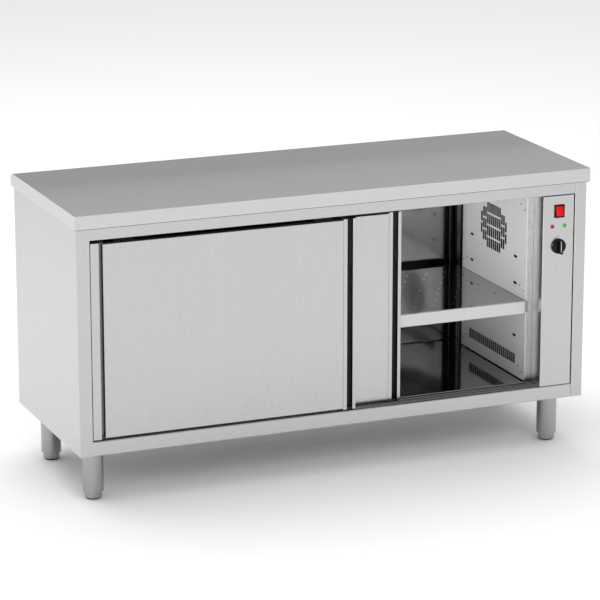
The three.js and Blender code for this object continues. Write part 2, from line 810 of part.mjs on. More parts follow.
function hanger() {
  const half = 30;
  const low = DOOR_HIGH + GAP;
  const foot = block([-half, half], [3, 17], [low, low + 2]);
  const plate = block([-half, half], [PLATE_Y, PLATE_Y + 2], [low, AXLE_Z + 8]);
  const axle = rod(AXLE_R, [-PLATE_Y - 1, 2], 14).rotateX(Math.PI / 2).translate(0, 0, AXLE_Z);
  return join(foot, plate, axle);
}

function roller() {
  const bore = AXLE_R + GAP;
  const profile = [[bore, 0], [ROLLER_R, 0], [ROLLER_R, ROLLER_W], [bore, ROLLER_W], [bore, 0]];
  return turned(profile, 24).rotateX(Math.PI / 2).translate(0, PLATE_Y - 0.5, AXLE_Z);
}

function door(name, x, y) {
  const group = new THREE.Group();
  group.position.set(x, y, 0);
  casing.add(group);
  add(name + "_outer_skin", doorOuterSkin(), "steel", group);
  add(name + "_inner_skin", doorInnerSkin(), "steel", group);
  for (const [side, at] of [["left", HANGER_INSET], ["right", DOOR_WIDTH - HANGER_INSET]]) {
    add(name + "_hanger_" + side, hanger().translate(at, 0, 0), "galvanised", group);
    add(name + "_roller_" + side, roller().translate(at, 0, 0), "white_nylon", group);
  }
}

door("left_door", LEFT_DOOR_X, FRONT_DOOR_Y);
door("right_door", RIGHT_DOOR_X, FRONT_DOOR_Y + DOOR_PITCH);

// ---- shelf -----------------------------------------------------------------------------------------
const SHELF_X = [OPENING_LEFT + 2, DUCT_X - 3];

function shelfHoles() {
  const holes = [];
  const rows = 7;
  const columns = 21;
  const middleX = (SHELF_X[0] + SHELF_X[1]) / 2;
  for (let row = 0; row < rows; row += 1) {
    const y = -4 + (row - (rows - 1) / 2) * HOLE_PITCH_Y;
    const count = columns - ((row + 1) % 2);
    for (let i = 0; i < count; i += 1) {
      const x = middleX + (i - (count - 1) / 2) * HOLE_PITCH_X;
      const hole = new THREE.Path();
      hole.absarc(x, y, HOLE_R, 0, 2 * Math.PI, true);
      holes.push(hole);
    }
  }
  return holes;
}

function shelf() {
  const [x0, x1] = SHELF_X;
  const low = SHELF_TOP - SHELF_FLANGE;
  const deck = outline([[x0, SHELF_FRONT], [x1, SHELF_FRONT], [x1, SHELF_REAR], [x0, SHELF_REAR]]);
  deck.holes = shelfHoles();
  const plate = pushed(deck, "z", [SHELF_TOP - SHEET, SHELF_TOP], 3);
  const skirt = outline([[x0, SHELF_FRONT], [x1, SHELF_FRONT], [x1, SHELF_REAR], [x0, SHELF_REAR]]);
  const inside = new THREE.Path();
  const inset = SHEET;
  inside.moveTo(x0 + inset, SHELF_FRONT + inset);
  inside.lineTo(x0 + inset, SHELF_REAR - inset);
  inside.lineTo(x1 - inset, SHELF_REAR - inset);
  inside.lineTo(x1 - inset, SHELF_FRONT + inset);
  skirt.holes = [inside];
  const flanges = pushed(skirt, "z", [low, SHELF_TOP - SHEET / 2]);
  const lug = block([x1 - 1, x1 + 10], [SHELF_FRONT, SHELF_FRONT + SHEET], [low, SHELF_TOP]);
  return join(plate, flanges, lug);
}

// A clip's tongue reaches out of a slot under the shelf, and its leg hangs behind the wall.
function shelfClip(wallX, y, outward) {
  const top = SHELF_TOP - SHELF_FLANGE - GAP;
  const span = (from, to) => (outward > 0 ? [wallX + from, wallX + to] : [wallX - to, wallX - from]);
  const behind = SHEET + GAP;
  const tongue = block(span(-behind - 2, 14), [y - 9, y + 9], [top - 2, top]);
  const leg = block(span(-behind - 2, -behind), [y - 9, y + 9], [top - 12, top - 1]);
  const chin = block(span(GAP, 2 + GAP), [y - 9, y + 9], [top - 12, top - 1]);
  return join(tongue, leg, chin);
}

add("shelf", shelf(), "steel");
for (const [side, wallX, outward] of [["left", OPENING_LEFT, 1], ["right", DUCT_X, -1]]) {
  add("shelf_clip_front_" + side, shelfClip(wallX, CLIP_Y[0], outward), "steel");
  add("shelf_clip_rear_" + side, shelfClip(wallX, CLIP_Y[1], outward), "steel");
}

// ---- legs and adjustable feet --------------------------------------------------------------------------
function leg() {
  const inner = LEG_R - LEG_WALL;
  const bottom = FOOT_SHOWN - LEG_HEIGHT;
  const nutLow = bottom + 28;
  const nutHigh = nutLow + 10;
  const bore = STEM_R + 0.4;
  const tubeAndNut = turned([
    [0, -2],
    [inner, -2],
    [inner, nutHigh],
    [bore, nutHigh],
    [bore, nutLow],
    [inner, nutLow],
    [inner, bottom],
    [LEG_R, bottom],
    [LEG_R, SHEET],
    [0, SHEET],
  ]);
  return join(tubeAndNut, rod(5, [0, 14], 12));
}

function foot() {
  const floor = -LEG_HEIGHT;
  const shoulder = FOOT_SHOWN - LEG_HEIGHT + 10;
  return turned([
    [0, floor],
    [17.5, floor],
    [FOOT_R, floor + 5],
    [FOOT_R, shoulder],
    [STEM_R, shoulder],
    [STEM_R, shoulder + 68],
    [0, shoulder + 68],
  ]);
}

for (const [side, x] of [["left", LEG_X[0]], ["right", LEG_X[1]]]) {
  for (const [end, y] of [["front", LEG_Y[0]], ["rear", LEG_Y[1]]]) {
    const corner = new THREE.Group();
    corner.position.set(x, y, 0);
    casing.add(corner);
    add(`leg_${end}_${side}`, leg(), "steel", corner);
    add(`foot_${end}_${side}`, foot(), "black_plastic", corner);
  }
}

export default cabinet;
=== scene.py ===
"""The looks of the heated food holding cabinet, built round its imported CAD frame. Metres, +Z up."""
import json
import math

import bmesh
import bpy
from mathutils import Matrix, Vector


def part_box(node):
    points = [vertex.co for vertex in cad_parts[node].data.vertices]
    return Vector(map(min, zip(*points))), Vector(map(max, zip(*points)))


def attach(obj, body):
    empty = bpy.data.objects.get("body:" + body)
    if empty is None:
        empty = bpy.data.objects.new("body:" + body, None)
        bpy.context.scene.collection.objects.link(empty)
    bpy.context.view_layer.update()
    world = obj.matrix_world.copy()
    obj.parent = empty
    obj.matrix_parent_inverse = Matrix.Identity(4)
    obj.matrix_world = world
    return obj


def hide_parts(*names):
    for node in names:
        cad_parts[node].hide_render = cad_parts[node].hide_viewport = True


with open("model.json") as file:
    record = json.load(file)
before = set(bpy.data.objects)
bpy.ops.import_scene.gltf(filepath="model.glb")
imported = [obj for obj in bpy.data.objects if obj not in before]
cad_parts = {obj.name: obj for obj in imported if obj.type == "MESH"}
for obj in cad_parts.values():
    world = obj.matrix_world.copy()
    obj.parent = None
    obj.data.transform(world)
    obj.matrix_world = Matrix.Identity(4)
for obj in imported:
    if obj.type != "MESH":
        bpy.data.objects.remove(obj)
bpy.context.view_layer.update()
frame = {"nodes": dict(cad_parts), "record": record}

MM = 0.001
SHEET = 1.2 * MM
MERGE_WITHIN = 1e-6  # metres; closer vertices become one
TINY = 1e-7  # metres; shorter lengths count as none
FLAT_ANGLE = math.radians(1.0)  # faces that meet at less than this become one
FRAME_NODES = frame["nodes"]

# The camera stands where the reference view was taken from.
CAMERA_AIM = Vector((-0.010, -0.009, 0.458))
CAMERA_DISTANCE = 9.0
CAMERA_AZIMUTH = -22.43
CAMERA_ELEVATION = 15.27
CAMERA_LENS = 181.7


# ---- materials -----------------------------------------------------------------------------------
NOISE_SPREAD = (0.3, 0.7)  # nearly all of a noise texture's values lie between these
BRUSHING = (1600.0, 12.0)  # brushing lines, in cycles per metre across the grain and along it
STREAKS = (70.0, 0.8)  # wide faint streaks, likewise
SMUDGE_SCALE = 3.0
STREAK_TONE = 0.002
LINE_GLOSS = 0.012
SMUDGE_GLOSS = (-0.007, 0.009)
BRUSHING_DEPTH = 0.0000009
BLOTCH_SCALE = 60.0
BLOTCH_GLOSS = 0.08
PIT_SCALE = 700.0
PIT_DEPTH = 0.00003
MOTTLE_SCALE = 120.0
MOTTLE_TONE = (0.86, 1.12)  # share of the plastic's colour in its darkest and lightest spots
MOTTLE_GLOSS = 0.04
MOULD_GRAIN_SCALE = 2500.0
WOOL_SCALE = (60.0, 60.0, 400.0)
WOOL_DARK = (0.50, 0.42, 0.22, 1)
WOOL_LIGHT = (0.78, 0.71, 0.45, 1)
WOOL_ROUGHNESS = 0.95
WOOL_DEPTH = 0.002


def new_material(name):
    material = bpy.data.materials.new(name)
    material.use_nodes = True
    nodes = material.node_tree.nodes
    return material, nodes, material.node_tree.links, nodes["Principled BSDF"]


def noise_at(nodes, links, scale, detail=3.0):
    """Noise in the object's own metres; scale is in cycles per metre along x, y and z."""
    place = nodes.new("ShaderNodeTexCoord")
    mapping = nodes.new("ShaderNodeMapping")
    mapping.inputs["Scale"].default_value = scale
    noise = nodes.new("ShaderNodeTexNoise")
    noise.inputs["Scale"].default_value = 1.0
    noise.inputs["Detail"].default_value = detail
    links.new(place.outputs["Object"], mapping.inputs["Vector"])
    links.new(mapping.outputs["Vector"], noise.inputs["Vector"])
    return noise.outputs["Fac"]


def remap(nodes, links, source, low, high):
    step = nodes.new("ShaderNodeMapRange")
    step.inputs["From Min"].default_value = NOISE_SPREAD[0]
    step.inputs["From Max"].default_value = NOISE_SPREAD[1]
    step.inputs["To Min"].default_value = low
    step.inputs["To Max"].default_value = high
    links.new(source, step.inputs["Value"])
    return step.outputs["Result"]


def grey_of(nodes, links, value):
    colour = nodes.new("ShaderNodeCombineColor")
    for channel in ("Red", "Green", "Blue"):
        links.new(value, colour.inputs[channel])
    return colour.outputs["Color"]


def combined(nodes, links, operation, first, second):
    step = nodes.new("ShaderNodeMath")
    step.operation = operation
    links.new(first, step.inputs[0])
    links.new(second, step.inputs[1])
    return step.outputs["Value"]


def blended(nodes, links, factor, dark, light):
    mix = nodes.new("ShaderNodeMix")
    mix.data_type = "RGBA"
    mix.inputs["A"].default_value = dark
    mix.inputs["B"].default_value = light
    links.new(factor, mix.inputs["Factor"])
    return mix.outputs["Result"]


def add_bump(nodes, links, shader, height, distance):
    bump = nodes.new("ShaderNodeBump")
    bump.inputs["Distance"].default_value = distance
    bump.inputs["Strength"].default_value = 1.0
    links.new(height, bump.inputs["Height"])
    links.new(bump.outputs["Normal"], shader.inputs["Normal"])


def along_grain(scale, grain):
    across, along = scale
    spread = [across] * 3
    spread[grain] = along
    return spread


def brushed_steel(name, grain, tone=0.55, roughness=0.27, metallic=1.0):
    """Satin sheet: fine brushing lines run along the grain axis (0, 1 or 2), over faint streaks."""
    material, nodes, links, shader = new_material(name)
    shader.inputs["Metallic"].default_value = metallic
    lines = noise_at(nodes, links, along_grain(BRUSHING, grain), 2.0)
    streaks = noise_at(nodes, links, along_grain(STREAKS, grain))
    smudges = noise_at(nodes, links, (SMUDGE_SCALE,) * 3, 2.0)
    wide_tone = remap(nodes, links, streaks, tone - STREAK_TONE, tone + STREAK_TONE)
    line_tone = remap(nodes, links, lines, -STREAK_TONE, STREAK_TONE)
    colour = combined(nodes, links, "ADD", wide_tone, line_tone)
    links.new(grey_of(nodes, links, colour), shader.inputs["Base Color"])
    line_gloss = remap(nodes, links, lines, roughness - LINE_GLOSS, roughness + LINE_GLOSS)
    smudge_gloss = remap(nodes, links, smudges, *SMUDGE_GLOSS)
    gloss = combined(nodes, links, "ADD", line_gloss, smudge_gloss)
    links.new(gloss, shader.inputs["Roughness"])
    add_bump(nodes, links, shader, lines, BRUSHING_DEPTH)
    return material


def dull_metal(name, tone, roughness, spangle=0.05):
    """Galvanised or cast metal with a blotchy surface."""
    material, nodes, links, shader = new_material(name)
    shader.inputs["Metallic"].default_value = 1.0
    blotches = noise_at(nodes, links, (BLOTCH_SCALE,) * 3, 4.0)
    shade = remap(nodes, links, blotches, tone - spangle, tone + spangle)
    links.new(grey_of(nodes, links, shade), shader.inputs["Base Color"])
    gloss = remap(nodes, links, blotches, roughness - BLOTCH_GLOSS, roughness + BLOTCH_GLOSS)
    links.new(gloss, shader.inputs["Roughness"])
    add_bump(nodes, links, shader, noise_at(nodes, links, (PIT_SCALE,) * 3), PIT_DEPTH)
    return material


def plastic(name, colour, roughness, grain=0.00003, specular=0.35):
    """Moulded plastic with a fine texture and slightly uneven gloss."""
    material, nodes, links, shader = new_material(name)
    shader.inputs["Specular IOR Level"].default_value = specular
    mottle = noise_at(nodes, links, (MOTTLE_SCALE,) * 3, 3.0)
    dark = (*[c * MOTTLE_TONE[0] for c in colour], 1)
    light = (*[min(1.0, c * MOTTLE_TONE[1]) for c in colour], 1)
    factor = remap(nodes, links, mottle, 0.0, 1.0)
    links.new(blended(nodes, links, factor, dark, light), shader.inputs["Base Color"])
    gloss = remap(nodes, links, mottle, roughness - MOTTLE_GLOSS, roughness + MOTTLE_GLOSS)
    links.new(gloss, shader.inputs["Roughness"])
    add_bump(nodes, links, shader, noise_at(nodes, links, (MOULD_GRAIN_SCALE,) * 3, 2.0), grain)
    return material


def mineral_wool(name):
    material, nodes, links, shader = new_material(name)
    fibres = noise_at(nodes, links, WOOL_SCALE, 6.0)
    factor = remap(nodes, links, fibres, 0.0, 1.0)
    colour = blended(nodes, links, factor, WOOL_DARK, WOOL_LIGHT)
    links.new(colour, shader.inputs["Base Color"])
    shader.inputs["Roughness"].default_value = WOOL_ROUGHNESS
    add_bump(nodes, links, shader, fibres, WOOL_DEPTH)
    return material


# Tones are set so that this studio's light gives the reference view's greys. The linings and
# SHADE_METAL are darker than bare steel: their colour is painted shade, for shadows and a dark room.
X_AXIS, Y_AXIS, Z_AXIS = 0, 1, 2
STEEL_X = brushed_steel("steel brushed along x", X_AXIS)
STEEL_Y = brushed_steel("steel brushed along y", Y_AXIS)
STEEL_Z = brushed_steel("steel brushed along z", Z_AXIS)
TOP_STEEL = brushed_steel("worktop steel", X_AXIS, tone=0.60, roughness=0.26)
SHADED_LINER_X = brushed_steel("lining painted shade along x", X_AXIS, tone=0.40, roughness=0.08)
SHADED_LINER_Z = brushed_steel("lining painted shade along z", Z_AXIS, tone=0.16, roughness=0.13)
# Lighter and duller than bare steel: painted light on the duct cover, on top of the opening spot's
# real light.
DUCT_LIT_STEEL = brushed_steel("duct painted light steel", Z_AXIS, tone=0.90, roughness=0.40, metallic=0.35)
SHELF_STEEL = brushed_steel("shelf edge steel", X_AXIS, tone=0.60, roughness=0.3, metallic=0.9)
# Darker than bare steel: painted dark reflections on the leg tubes.
TUBE_DARK_REFLECTION_STEEL = brushed_steel("leg tube painted reflection steel", Z_AXIS, tone=0.38, roughness=0.07)
FOOT_STEEL = dull_metal("foot metal", 0.42, 0.25, 0.03)
ZINC = dull_metal("galvanised sheet", 0.5, 0.45)
DARK_AND_SHADE_METAL = dull_metal("dark and painted shade metal", 0.16, 0.5, 0.03)
# Painted shade on the grips' recessed floor.
GRIP_SHADE_METAL = dull_metal("grip floor painted shade", 0.26, 0.4, 0.02)
# Painted shade: a near-black sheet put in gaps, recesses and slots where the inside lies in shade.
SHADE_METAL = dull_metal("painted shade sheet", 0.035, 0.55, 0.01)
FAN_METAL = dull_metal("fan metal", 0.55, 0.35, 0.03)
BLACK = plastic("black plastic", (0.003, 0.003, 0.0033), 0.24, specular=0.2)
RUBBER_AND_SHADE = plastic("dark rubber and painted shade", (0.02, 0.02, 0.02), 0.75, 0.00006)
NYLON = plastic("white nylon", (0.78, 0.77, 0.73), 0.45)
RED = plastic("red rocker", (0.56, 0.001, 0.002), 0.3, 0.00001)
RED_LENS = plastic("red lens", (0.27, 0.002, 0.012), 0.2, 0.00001)
GREEN_LENS = plastic("green lens", (0.006, 0.34, 0.03), 0.2, 0.00001)
WHITE_INK = plastic("white ink", (0.75, 0.75, 0.75), 0.5)
GREY_INK = plastic("grey ink", (0.16, 0.16, 0.165), 0.5)
WOOL = mineral_wool("mineral wool")


# ---- mesh helpers --------------------------------------------------------------------------------
def to_object(name, bm, material):
    mesh = bpy.data.meshes.new(name)
    bm.normal_update()
    bm.to_mesh(mesh)
    bm.free()
    piece = bpy.data.objects.new(name, mesh)
    bpy.context.collection.objects.link(piece)
    mesh.materials.append(material)
    return piece


def smooth(mesh, angle=35.0):
    """Smooth shading that breaks at edges sharper than the angle."""
    bm = bmesh.new()
    bm.from_mesh(mesh)
    limit = math.radians(angle)
    for face in bm.faces:
        face.smooth = True
    for edge in bm.edges:
        edge.smooth = len(edge.link_faces) == 2 and edge.calc_face_angle(0.0) < limit
    bm.to_mesh(mesh)
    bm.free()


def body_of_node(node):
    bodies = frame["record"]["behaviour"]["bodies"]
    return next(body for body, members in bodies.items() if node in members)


def slot_of_node(node):
    return next(s["material_slot"] for s in frame["record"]["subparts"] if s["node"] == node)


def stand_for(piece, node):
    """piece replaces a CAD node: it rides on the same body."""
    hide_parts(node)
    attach(piece, body_of_node(node))
    slot_of_node(node)
    return piece


def added(piece, body, slot):
    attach(piece, body)
    return piece


def narrowness(face):
    longest = max(edge.calc_length() for edge in face.edges)
    return face.calc_area() / longest


FOLD_RADIUS = 2.4 * MM
INNER_FOLD_LEAST = 0.3 * MM
EDGE_ROUND = 0.25 * MM
SHARP_ANGLE = math.radians(50)
CUT_RIM_WIDTH = 2.2 * MM  # a face no wider than this is the sheet's cut edge


def cad_mesh(node):
    """A copy of a CAD node's mesh, with its triangles joined into flat faces."""
    bm = bmesh.new()
    bm.from_mesh(FRAME_NODES[node].data)
    bmesh.ops.remove_doubles(bm, verts=bm.verts, dist=MERGE_WITHIN)
    bmesh.ops.dissolve_limit(bm, angle_limit=FLAT_ANGLE, verts=bm.verts, edges=bm.edges)
    return bm


def rounded(node, material, fold=FOLD_RADIUS):
    """A finer copy of a folded-sheet CAD node, with round bends and eased cut rims."""
    bm = cad_mesh(node)
    weight = bm.edges.layers.float.new("bevel_weight_edge")
    inside = max(fold - SHEET, INNER_FOLD_LEAST)
    for edge in bm.edges:
        if len(edge.link_faces) != 2 or edge.calc_face_angle(0.0) < SHARP_ANGLE:
            continue
        wide = all(narrowness(face) > CUT_RIM_WIDTH for face in edge.link_faces)
        radius = EDGE_ROUND
        if wide:
            radius = fold if edge.is_convex else inside
        edge[weight] = radius / fold
    piece = to_object(node + "_fine", bm, material)
    smooth(piece.data, 40.0)
    bevel = piece.modifiers.new("Folds", "BEVEL")
    bevel.limit_method = "WEIGHT"
    bevel.width = fold
    bevel.segments = 3
    bevel.use_clamp_overlap = False
    bevel.harden_normals = True
    return stand_for(piece, node)


def turned(bm, profile, centre, axis="Z", segments=48):
    """A turned solid from [radius, height] points, added to bm at centre, its height along axis."""
    turn = {
        "Z": Matrix(),
        "Y": Matrix.Rotation(math.pi / 2, 4, "X"),
        "X": Matrix.Rotation(math.pi / 2, 4, "Y"),
    }
    place = Matrix.Translation(centre) @ turn[axis]
    rings = []
    for radius, height in profile:
        if radius < TINY:
            rings.append([bm.verts.new(place @ Vector((0, 0, height)))])
            continue
        angles = [2 * math.pi * i / segments for i in range(segments)]
        spots = [Vector((radius * math.cos(a), radius * math.sin(a), height)) for a in angles]
        rings.append([bm.verts.new(place @ spot) for spot in spots])
    for low, high in zip(rings, rings[1:]):
        for i in range(segments):
            j = (i + 1) % segments
            if len(low) == 1:
                bm.faces.new((low[0], high[j], high[i]))
            elif len(high) == 1:
                bm.faces.new((low[i], low[j], high[0]))
            else:
                bm.faces.new((low[i], low[j], high[j], high[i]))


def box_into(bm, low, high):
    """A box added to bm. Its caller eases its edges."""
    low, high = Vector(low), Vector(high)
    centre, size = (low + high) / 2, high - low
    matrix = Matrix.Translation(centre) @ Matrix.Diagonal((*size, 1))
    bmesh.ops.create_cube(bm, size=1, matrix=matrix)


def eased(piece, width, segments=2):
    bevel = piece.modifiers.new("Eased", "BEVEL")
    bevel.limit_method = "ANGLE"
    bevel.angle_limit = math.radians(30.0)
    bevel.width = width
    bevel.segments = segments
    bevel.harden_normals = True
    for polygon in piece.data.polygons:
        polygon.use_smooth = True
    return piece


STRIP_EASE = 0.2 * MM


def strip(name, node, material, low, high, ease=STRIP_EASE, segments=2):
    """A plain strip with eased edges, which rides with a CAD node."""
    bm = bmesh.new()
    box_into(bm, low, high)
    piece = eased(to_object(name, bm, material), ease, segments)
    return added(piece, body_of_node(node), slot_of_node(node))


# ---- plate with punched holes --------------------------------------------------------------------
def add_loop(curve, points):
    spline = curve.splines.new("POLY")
    spline.points.add(len(points) - 1)
    for point, (u, v) in zip(spline.points, points):
        point.co = (u, v, 0, 1)
    spline.use_cyclic_u = True


PUNCHED_RIM = 0.12 * MM


def punched_plate(name, outline, holes, thickness, rim):
    """A flat plate in its own x-y plane, centred on z = 0, with holes cut and rims eased."""
    curve = bpy.data.curves.new(name, "CURVE")
    curve.dimensions = "2D"
    curve.fill_mode = "BOTH"
    curve.extrude = thickness / 2 - rim
    curve.bevel_depth = rim
    curve.bevel_resolution = 1
    curve.offset = -rim
    add_loop(curve, outline)
    for hole in holes:
        add_loop(curve, hole)
    holder = bpy.data.objects.new(name + "_curve", curve)
    bpy.context.collection.objects.link(holder)
    depsgraph = bpy.context.evaluated_depsgraph_get()
    mesh = bpy.data.meshes.new_from_object(holder.evaluated_get(depsgraph))
    bpy.data.objects.remove(holder)
    bm = bmesh.new()
    bm.from_mesh(mesh)
    bmesh.ops.remove_doubles(bm, verts=bm.verts, dist=MERGE_WITHIN)
    return bm


def circle(u, v, radius, count=20):
    angles = [2 * math.pi * i / count for i in range(count)]
    return [(u + radius * math.cos(a), v + radius * math.sin(a)) for a in angles]


def slot_loop(u, v, width, height, count=8):
    """A slot with round ends; it is long along v if height is the larger size."""
    radius = min(width, height) / 2
    run_u, run_v = width / 2 - radius, height / 2 - radius
    points = []
    start = 0.0 if height >= width else -math.pi / 2
    for end in (1, -1):
        for i in range(count + 1):
            a = start + (0 if end == 1 else math.pi) + math.pi * i / count
            point_u = u + end * run_u + radius * math.cos(a)
            point_v = v + end * run_v + radius * math.sin(a)
            points.append((point_u, point_v))
    return points


def rounded_rectangle(u, v, width, height, radius, count=4):
    points = []
    for corner, (side_u, side_v) in enumerate(((1, 1), (-1, 1), (-1, -1), (1, -1))):
        centre_u = u + side_u * (width / 2 - radius)
        centre_v = v + side_v * (height / 2 - radius)
        for i in range(count + 1):
            a = math.pi / 2 * (corner + i / count)
            points.append((centre_u + radius * math.cos(a), centre_v + radius * math.sin(a)))
    return points


# ---- sheet that is punched flat, then folded -----------------------------------------------------
class Fold:
    """A bent strip seen end on. path is one face of the sheet, which lies to the path's left."""

    STEPS = 6

    def __init__(self, path, radius=FOLD_RADIUS, sheet=SHEET):
        self.sheet = sheet
        self.stations = []
        self.offsets = []
        corners = [Vector(point) for point in path]
        start, setback, u = corners[0], 0.0, 0.0
        for i in range(1, len(corners)):
            along = (corners[i] - corners[i - 1]).normalized()
            left = Vector((-along.y, along.x))
            self.offsets.append(u - setback)
            self.stations.append((u, start + left * sheet / 2, left))
            turn = 0.0
            if i < len(corners) - 1:
                after = (corners[i + 1] - corners[i]).normalized()
                turn = math.atan2(along.cross(after), along.dot(after))
            bend = radius if turn > 0 else radius - sheet
            setback = bend * math.tan(abs(turn) / 2)
            stop = corners[i] - along * setback
            u += (stop - start).length
            self.stations.append((u, stop + left * sheet / 2, left))
            if turn:
                u, start = self.add_arc(stop, left, turn, bend, radius - sheet / 2, u)
        self.length = u

    def add_arc(self, stop, left, turn, bend, middle, u):
        inward = left if turn > 0 else -left
        centre = stop + inward * bend
        for k in range(1, self.STEPS):
            spin = Matrix.Rotation(turn * k / self.STEPS, 2)
            flat_u = u + middle * abs(turn) * k / self.STEPS
            self.stations.append((flat_u, centre - spin @ inward * middle, spin @ left))
        end = centre - Matrix.Rotation(turn, 2) @ inward * bend
        return u + middle * abs(turn), end

    def u_at(self, segment, distance):
        """The flat pattern's u at a distance along one of the path's segments."""
        return self.offsets[segment] + distance

    def place(self, u, w):
        for (u0, mid0, left0), (u1, mid1, left1) in zip(self.stations, self.stations[1:]):
            if u <= u1 + TINY:
                break
        share = (u - u0) / (u1 - u0) if u1 > u0 else 0.0
        return mid0.lerp(mid1, share) + left0.lerp(left1, share) * w

    def bend(self, bm, to_world):
        for u, _, _ in self.stations[1:-1]:
            parts = bm.verts[:] + bm.edges[:] + bm.faces[:]
            station = (u, 0, 0)
            bmesh.ops.bisect_plane(bm, geom=parts, dist=TINY, plane_co=station, plane_no=(1, 0, 0))
        for vert in bm.verts:
            point = self.place(vert.co.x, vert.co.z)
            vert.co = to_world(point.x, point.y, vert.co.y)
        bmesh.ops.recalc_face_normals(bm, faces=bm.faces)


def along_z(u, v, w):
    return Vector((u, v, w))


def along_x(u, v, w):
    return Vector((w, u, v))


def upright(fold, low, high):
    """The plain flat pattern of a sheet whose folds stand upright."""
    return [(0, low.z), (fold.length, low.z), (fold.length, high.z), (0, high.z)]


def punched_and_folded(node, material, fold, outline, holes, to_world, rim=PUNCHED_RIM):
    bm = punched_plate(node, outline, holes, fold.sheet, rim)
    fold.bend(bm, to_world)
    piece = to_object(node + "_fine", bm, material)
    smooth(piece.data, 50.0)
    weighted = piece.modifiers.new("Flat faces", "WEIGHTED_NORMAL")
    weighted.keep_sharp = True
    return stand_for(piece, node)


# ---- folded sheet pieces -------------------------------------------------------------------------
ALONG_X = ("top_rail", "bottom_rail", "bottom_pan")
ALONG_Z = ("left_side_panel", "right_side_panel", "back_panel")
WORKTOP_FOLD = 0.9 * MM
rounded("worktop", TOP_STEEL, fold=WORKTOP_FOLD)
# The upper door track is painted dark as the shade in the gap above the doors.
rounded("upper_door_track", SHADE_METAL)
rounded("lower_door_track", SHADED_LINER_X)
for node in ALONG_X:
    rounded(node, STEEL_X)
for node in ALONG_Z:
    rounded(node, STEEL_Z)
for node in ("cavity_ceiling", "cavity_floor"):
    rounded(node, SHADED_LINER_X)
for node in ("cavity_back_wall", "column_wall"):
    rounded(node, SHADED_LINER_Z)

# ---- sliding doors -------------------------------------------------------------------------------
DOOR_FOLD = 1.2 * MM
GRIP_DEPTH = 12 * MM
LEFT_GRIP = (27 * MM, 38 * MM)
RIGHT_GRIP = (781 * MM, 798 * MM)
LIP_SEAM = 768 * MM  # the face panel ends here, under the edge of the right-hand grip's lip
SEAM_WIDTH = 0.7 * MM
SEAM_PROUD = 0.12 * MM
SEAM_EASE = 0.04 * MM
PANEL_STEP = 4 * MM  # the face panel stops this far short of the door's head and foot
CAP_DEPTH = 2 * MM
GRIP_SLACK = 0.4 * MM


def shade_grips(piece, low):
    """The right-hand grip is painted dark all round, as shade in its recess. The left-hand one is
    painted dark on its far side only, over a floor painted mid-grey as shade."""
    piece.data.materials.append(SHADE_METAL)
    piece.data.materials.append(GRIP_SHADE_METAL)
    for polygon in piece.data.polygons:
        u, depth = polygon.center.x - low.x, polygon.center.y - low.y
        if not GRIP_SLACK < depth < GRIP_DEPTH + GRIP_SLACK:
            continue
        in_right = RIGHT_GRIP[0] - GRIP_SLACK < u < RIGHT_GRIP[1] + GRIP_SLACK
        far_side = abs(u - LEFT_GRIP[1]) < GRIP_SLACK
        if in_right or far_side:
            polygon.material_index = 1
        elif LEFT_GRIP[0] < u < LEFT_GRIP[1]:
            polygon.material_index = 2


def darken_cap(piece, top):
    """The cap along the door's head stands back from the face; it is painted dark as the shade under
    the track.
    """
    piece.data.materials.append(SHADE_METAL)
    for polygon in piece.data.polygons:
        if polygon.center.z > top - CAP_DEPTH:
            polygon.material_index = 1


def door_seam(door, low, high):
    start = (low.x + LIP_SEAM, low.y - SEAM_PROUD, low.z + PANEL_STEP)
    end = (low.x + LIP_SEAM + SEAM_WIDTH, low.y + SEAM_PROUD, high.z - PANEL_STEP)
    strip(door + "_seam", door + "_outer_skin", SHADE_METAL, start, end, SEAM_EASE, 1)


for door in ("left_door", "right_door"):
    skin_low, skin_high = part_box(door + "_outer_skin")
    shade_grips(rounded(door + "_outer_skin", STEEL_Z, fold=DOOR_FOLD), skin_low)
    darken_cap(rounded(door + "_inner_skin", STEEL_Z, fold=DOOR_FOLD), skin_high.z)
    door_seam(door, skin_low, skin_high)


# ---- joints between the left-hand stile and the rails, dressed flush -----------------------------
JOINT_EASE = 0.05 * MM
LIP_SHADOW_END = 1.5 * MM  # it stops this far short of the worktop's ends
LIP_SHADOW_FRONT = 0.8 * MM  # it stands back this far from the worktop's front
LIP_SHADOW_REAR = 0.2 * MM  # and this far clear of the rail
LIP_SHADOW_HEIGHT = 1.1 * MM
DOOR_GAP_SHADOW_X = (-1.9 * MM, -0.4 * MM)  # from the left-hand door's left edge
DOOR_GAP_SHADOW_Y = (1.5 * MM, 13 * MM)  # from the rail's front face
DOOR_GAP_SHADOW_LIFT = 0.5 * MM


def dressed_joint(rail):
    low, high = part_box(rail)
    start = (low.x - FOLD_RADIUS, low.y, low.z)
    end = (low.x + EDGE_ROUND, low.y + SHEET, high.z)
    strip(rail + "_joint", rail, STEEL_Z, start, end, JOINT_EASE, 1)


def casing_shadow_strips():
    """Strips of painted shade: a fine dark line under the worktop's lip, and a black strip in the gap
    beside the left-hand door."""
    top_low, top_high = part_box("worktop")
    rail_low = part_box("top_rail")[0]
    left, front = top_low.x + LIP_SHADOW_END, top_low.y + LIP_SHADOW_FRONT
    start = (left, front, top_low.z - LIP_SHADOW_HEIGHT)
    end = (top_high.x - LIP_SHADOW_END, rail_low.y - LIP_SHADOW_REAR, top_low.z)
    strip("lip_shadow_strip", "worktop", DARK_AND_SHADE_METAL, start, end)
    door_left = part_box("left_door_outer_skin")[0].x
    opening_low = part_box("bottom_rail")[1].z + DOOR_GAP_SHADOW_LIFT
    start = (door_left + DOOR_GAP_SHADOW_X[0], rail_low.y + DOOR_GAP_SHADOW_Y[0], opening_low)
    end = (door_left + DOOR_GAP_SHADOW_X[1], rail_low.y + DOOR_GAP_SHADOW_Y[1], rail_low.z)
    strip("door_gap_shadow", "left_side_panel", RUBBER_AND_SHADE, start, end)


dressed_joint("top_rail")
dressed_joint("bottom_rail")
casing_shadow_strips()

